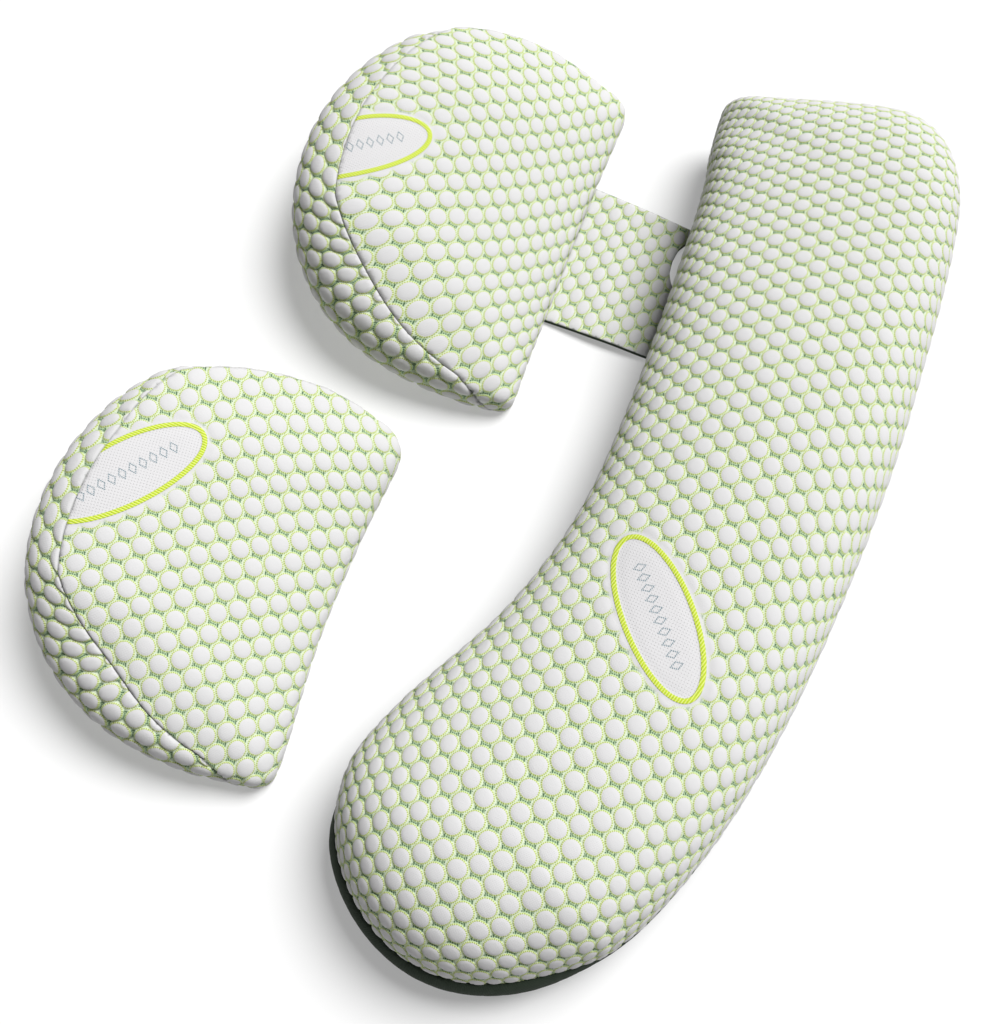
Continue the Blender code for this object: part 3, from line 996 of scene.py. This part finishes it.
def build_long_pillow(knit, shade_cloth):
    spine = resample(bezier_path(LONG_SPINE, False), 8.0, False)
    outline = resample(bezier_path(LONG_OUTLINE, True), SEAM_STEP, True)
    body = Body(spine, outline, long_section)
    rows = np.arange(len(body.turn))
    seam = body.walked[:, LONG_UPPER_STEPS - 1]
    fixed = seam_points(body, body.turn, seam)
    top = Crown(body)
    cloth = Cloth(**LONG_NET)
    upper = build_panel(top, cloth, top.edge(rows, seam), fixed, label=Label(*LONG_LABEL))
    under = Crown(body, under=True)
    plain_net = straight_net((175.0, 30.0), 88.0)
    lower = build_panel(under, plain_net, under.edge(rows, seam), fixed, fine=False, flip=True,
                        rise=BASE_RISE, sink=BASE_SINK)
    return join_panels("long_pillow_cover", [upper], [lower], knit, shade_cloth)


def panel_height(distance):
    """Height of a wedge's flat top panel so far from the straight edge."""
    run = WEDGE_DEPTH - WEDGE_HEIGHT * WALL_SWELL
    return WEDGE_EDGE + (WEDGE_HEIGHT - WEDGE_EDGE) * np.maximum(0.0, distance) / run


def wedge_seam(edge, inward, share):
    """The top seam: how far inside the outline it lies, its places and its heights."""
    height = np.full(len(edge), WEDGE_EDGE)
    for _ in range(12):
        swell = height * share
        seam = edge + inward * swell[:, None]
        height = panel_height(-seam[:, 0])
    return swell, seam, height


def wedge_section(place):
    """The section rows of a wedge: crest to seam, seam to floor, floor to the middle of the underside."""
    def section(edge, foot):
        inward = unit(foot - edge)
        facing = np.arctan2(-inward[:, 1], -inward[:, 0])
        least, more, side = place["inset"]
        share = least + more * np.maximum(0.0, np.cos(facing - math.radians(side)))
        swell, seam, height = wedge_seam(edge, inward, share)
        back = smooth_step(*BACK_SPREAD, np.cos(facing - math.radians(BACK_FACING)))
        front = smooth_step(*FRONT_SPREAD, np.cos(facing))
        panel, wall = [], []
        for way, crown, front_crown in WEDGE_PANEL[::-1]:
            spot = seam + (foot - seam) * way
            swelling = crown + (front_crown - crown) * front
            panel.append(np.column_stack([spot, panel_height(-spot[:, 0]) + WEDGE_CROWN * swelling]))
        for (inset, rise), (back_inset, _) in zip(WEDGE_WALL[::-1], BACK_WALL[::-1]):
            spot = edge + inward * (swell * (inset + (back_inset - inset) * back))[:, None]
            wall.append(np.column_stack([spot, height * rise]))
        panel, wall = np.array(panel), np.array(wall)
        crisp = np.concatenate([spline(panel, PANEL_STEPS), spline(wall, WALL_STEPS)[1:]])
        whole = np.concatenate([panel[:-1], wall])
        t = np.concatenate([np.linspace(0, len(panel) - 1, PANEL_STEPS),
                            np.linspace(len(panel) - 1, len(whole) - 1, WALL_STEPS)[1:]])
        crispness = smooth_step(*CRISP_FROM, -seam[:, 0])[None, :, None]
        sides = crispness * crisp + (1 - crispness) * spline(whole, t=t)
        end = np.column_stack([foot, np.zeros(len(foot))])
        grow = np.linspace(0, 1, UNDER_STEPS)[1:, None, None]
        under = sides[-1:] + (end - sides[-1])[None] * grow
        points = np.concatenate([sides, under]).transpose(1, 0, 2)
        return points + (place["x"], place["y"], 0.0)
    return section


def fold_share(outline, half_edge):
    """How far down to the floor the top seam runs: 0 round the back, 1 along the straight edge."""
    x, y = outline.T
    front = (np.abs(y) < half_edge - WEDGE_CORNER + CORNER_SLACK) & (x > FRONT_X)
    folded = np.where(front, 1.0, smooth_step(FOLD_START, FOLD_END, x))
    folded[folded > FOLDED] = 1.0
    return folded


def wall_order(on_wall):
    """The wall's outline rows in order round the back, with the folded row before and after them."""
    start = int(np.argmax(on_wall & ~np.roll(on_wall, 1)))
    order = np.r_[start:len(on_wall), 0:start]
    return order[np.r_[len(order) - 1, 0:int(on_wall.sum()) + 1]]


def build_wall(body, rows, edge, lower, edge_points, lower_points):
    """The panel round a wedge's curved side, between its two seams."""
    side = Wall(body, rows, lower[rows])
    low = np.column_stack([side.round, np.zeros(len(rows))])
    high = np.column_stack([side.round, (lower - edge)[rows]])[1:-1][::-1]
    fixed = np.concatenate([lower_points[rows], edge_points[rows][1:-1][::-1]])
    net = straight_net((200.0, 50.0), 0.0, 1.06 * COLUMN, 1.25 * PITCH)
    return build_panel(side, net, np.concatenate([low, high]), fixed, rise=WALL_PAD_RISE, sink=WALL_PAD_SINK)


def build_wedge(name, wedge, knit, shade_cloth):
    spine = np.array([(WEDGE_SPINE_X, y) for y in (-WEDGE_SPINE_HALF, 0.0, WEDGE_SPINE_HALF)])
    outline = resample(bezier_path(wedge["outline"], True), SEAM_STEP, True)
    body = Body(spine, outline, wedge_section(wedge))
    rows = np.arange(len(body.turn))
    seam = body.walked[:, PANEL_STEPS - 1]
    lower = body.walked[:, PANEL_STEPS + WALL_STEPS - 2]
    folded = fold_share(body.outline, wedge["half_edge"])
    on_wall = folded < 1.0
    edge = seam + (lower - seam) * folded
    lower_points = seam_points(body, body.turn, lower, LOWER_SEAM_SINK)
    edge_points = np.where(on_wall[:, None], seam_points(body, body.turn, edge), lower_points)
    top, under = Crown(body), Crown(body, under=True)
    upper = build_panel(top, Cloth(**wedge["net"]), top.edge(rows, edge), edge_points,
                        label=Label(*wedge["label"]))
    wall = build_wall(body, wall_order(on_wall), edge, lower, edge_points, lower_points)
    base = build_panel(under, straight_net((-100.0, 0.0), 90.0), under.edge(rows, lower), lower_points,
                       fine=False, flip=True, rise=BASE_RISE, sink=BASE_SINK)
    return join_panels(name, [upper, wall], [base], knit, shade_cloth)


class Strip:
    """The strap's upper or lower face, laid flat along its length."""

    def __init__(self, drop):
        table = np.array(STRAP_ROWS)
        rows = spline(table[:, :2], 120)
        slope = np.gradient(rows, axis=0)
        normal = unit(np.column_stack([-slope[:, 1], slope[:, 0]]))
        self.path = rows - normal * drop
        self.walked = np.r_[0.0, np.cumsum(np.linalg.norm(np.diff(rows, axis=0), axis=1))]
        self.near = np.interp(rows[:, 0], table[:, 0], table[:, 2])
        self.far = np.interp(rows[:, 0], table[:, 0], table[:, 3])
        self.length = self.walked[-1]

    def __call__(self, p):
        x = np.interp(p[:, 0], self.walked, self.path[:, 0])
        z = np.interp(p[:, 0], self.walked, self.path[:, 1])
        lean = STRAP_SLANT * (p[:, 1] - self.near.mean() - STRAP_HALF) * (1 - p[:, 0] / self.length)
        return np.column_stack([x + lean, p[:, 1], z])

    def loop(self):
        """The face's edge, anticlockwise from its near left corner."""
        along = resample(np.array([(0.0, 0.0), (self.length, 0.0)]), SEAM_STEP, False)[:, 0]
        near = np.interp(along, self.walked, self.near)
        far = np.interp(along, self.walked, self.far)
        bottom = np.column_stack([along, near])
        top = np.column_stack([along, far])[::-1]
        right = resample(np.array([bottom[-1], top[0]]), 1.5, False)
        hollow = np.array(STRAP_HOLLOW)
        right[:, 0] -= HOLLOW_DEPTH * np.interp(right[:, 1], hollow[:, 0], hollow[:, 1])
        right = resample(right, SEAM_STEP, False)[1:-1]
        left = resample(np.array([top[-1], bottom[0]]), SEAM_STEP, False)[1:-1]
        return np.concatenate([bottom, right, top, left])


def strap_rim(loop, top, bottom):
    """The strap's narrow edge, between the edges of its upper and lower faces."""
    n = len(loop)
    outward = np.sign(loop[:, 1] - loop[:, 1].mean()) * 0.6
    middle = (top + bottom) / 2 + np.column_stack([np.zeros(n), outward, np.zeros(n)])
    faces = []
    for i in range(n):
        j = (i + 1) % n
        for a in (0, n):
            faces += [(a + i, a + n + i, a + n + j), (a + i, a + n + j, a + j)]
    corners = len(faces) * 3
    return {
        "points": np.concatenate([top, middle, bottom]), "faces": np.array(faces),
        "cell": np.zeros((corners, 2)), "cloth": np.tile(loop.mean(axis=0), (corners, 1)),
        "label": np.full((corners, 2), AWAY_FROM_LABELS), "plain": np.ones(3 * n),
        "seam_thread_shade_mask": np.repeat([0.3, 1.0, 1.0], n)}


def build_strap(knit, shade_cloth):
    face, back = Strip(0.4), Strip(STRAP_THICKNESS - 0.6)
    cloth = straight_net(**STRAP_NET)
    loop = face.loop()
    top, bottom = face(loop), back(loop)
    upper = build_panel(face, cloth, loop, top, rise=STRAP_PAD_RISE, sink=STRAP_PAD_SINK, hem=STRAP_HEM)
    lower = build_panel(back, cloth, loop, bottom, fine=False, flip=True,
                        rise=STRAP_BASE_RISE, sink=BASE_SINK)
    return join_panels("strap_cloth_sheet", [upper], [lower, strap_rim(loop, top, bottom)], knit, shade_cloth)


def place_camera():
    data = bpy.data.cameras.new("camera")
    data.sensor_width = SENSOR
    data.lens = LENS
    data.clip_end = 50.0
    camera = bpy.data.objects.new("camera", data)
    bpy.context.scene.collection.objects.link(camera)
    bpy.context.scene.camera = camera
    up, round_it = math.radians(CAMERA_ELEVATION), math.radians(CAMERA_AZIMUTH)
    back = Vector((math.sin(round_it) * math.cos(up), -math.cos(round_it) * math.cos(up), math.sin(up)))
    camera.location = Vector(SHIFT) * MM + back * CAMERA_DISTANCE
    camera.rotation_mode = 'QUATERNION'
    camera.rotation_quaternion = (-back).to_track_quat('-Z', 'Y')


def build_floor():
    ends = ((-1, -1), (1, -1), (1, 1), (-1, 1))
    mesh = bpy.data.meshes.new("floor")
    mesh.from_pydata([(x * FLOOR_HALF, y * FLOOR_HALF, 0.0) for x, y in ends], [], [(0, 1, 2, 3)])
    floor = bpy.data.objects.new("floor", mesh)
    bpy.context.scene.collection.objects.link(floor)
    material = bpy.data.materials.new("floor_paper")
    material.use_nodes = True
    shader = material.node_tree.nodes["Principled BSDF"]
    shader.inputs["Base Color"].default_value = (FLOOR_GREY, FLOOR_GREY, FLOOR_GREY, 1.0)
    shader.inputs["Roughness"].default_value = 0.9
    shader.inputs["Emission Color"].default_value = (1.0, 1.0, 1.0, 1.0)
    shader.inputs["Emission Strength"].default_value = FLOOR_GLOW
    shader.inputs["Specular IOR Level"].default_value = 0.1
    mesh.materials.append(material)
    floor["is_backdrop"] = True


def light_studio():
    scene = bpy.context.scene
    scene.view_settings.view_transform = 'Standard'
    world = bpy.data.worlds.new("studio")
    world.use_nodes = True
    sky = world.node_tree.nodes["Background"]
    sky.inputs[0].default_value = (1.0, 1.0, 1.0, 1.0)
    sky.inputs[1].default_value = SKY_POWER
    scene.world = world
    data = bpy.data.lights.new("key", 'SUN')
    data.angle = math.radians(KEY_SOFTNESS)
    data.energy = KEY_POWER
    lamp = bpy.data.objects.new("key", data)
    lamp.rotation_mode = 'QUATERNION'
    lamp.rotation_quaternion = (-Vector(KEY_DIRECTION)).to_track_quat('-Z', 'Y')
    scene.collection.objects.link(lamp)


# ------------------------------------------------------------------ the scene
def dress(item, node):
    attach(item, "root")
    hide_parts(node)


def corners(bounds):
    return [list(corner) for corner in bounds]


def main():
    sizes = {"cad": corners(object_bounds())}
    place_camera()
    build_floor()
    light_studio()
    # the second material paints the shade under and round the foot of each piece
    cloths = quilted_knit("quilted_knit"), painted_shade_cloth("shade_cloth")
    filled = (
        ("long_pillow", build_long_pillow(*cloths)),
        ("joined_wedge", build_wedge("joined_wedge_cover", JOINED_WEDGE, *cloths)),
        ("loose_wedge", build_wedge("loose_wedge_cover", LOOSE_WEDGE, *cloths)),
    )
    for node, item in filled:
        dress(item, node)
    strap = build_strap(*cloths)
    dress(strap, "strap")
    sizes["visual"] = corners(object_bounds())


main()
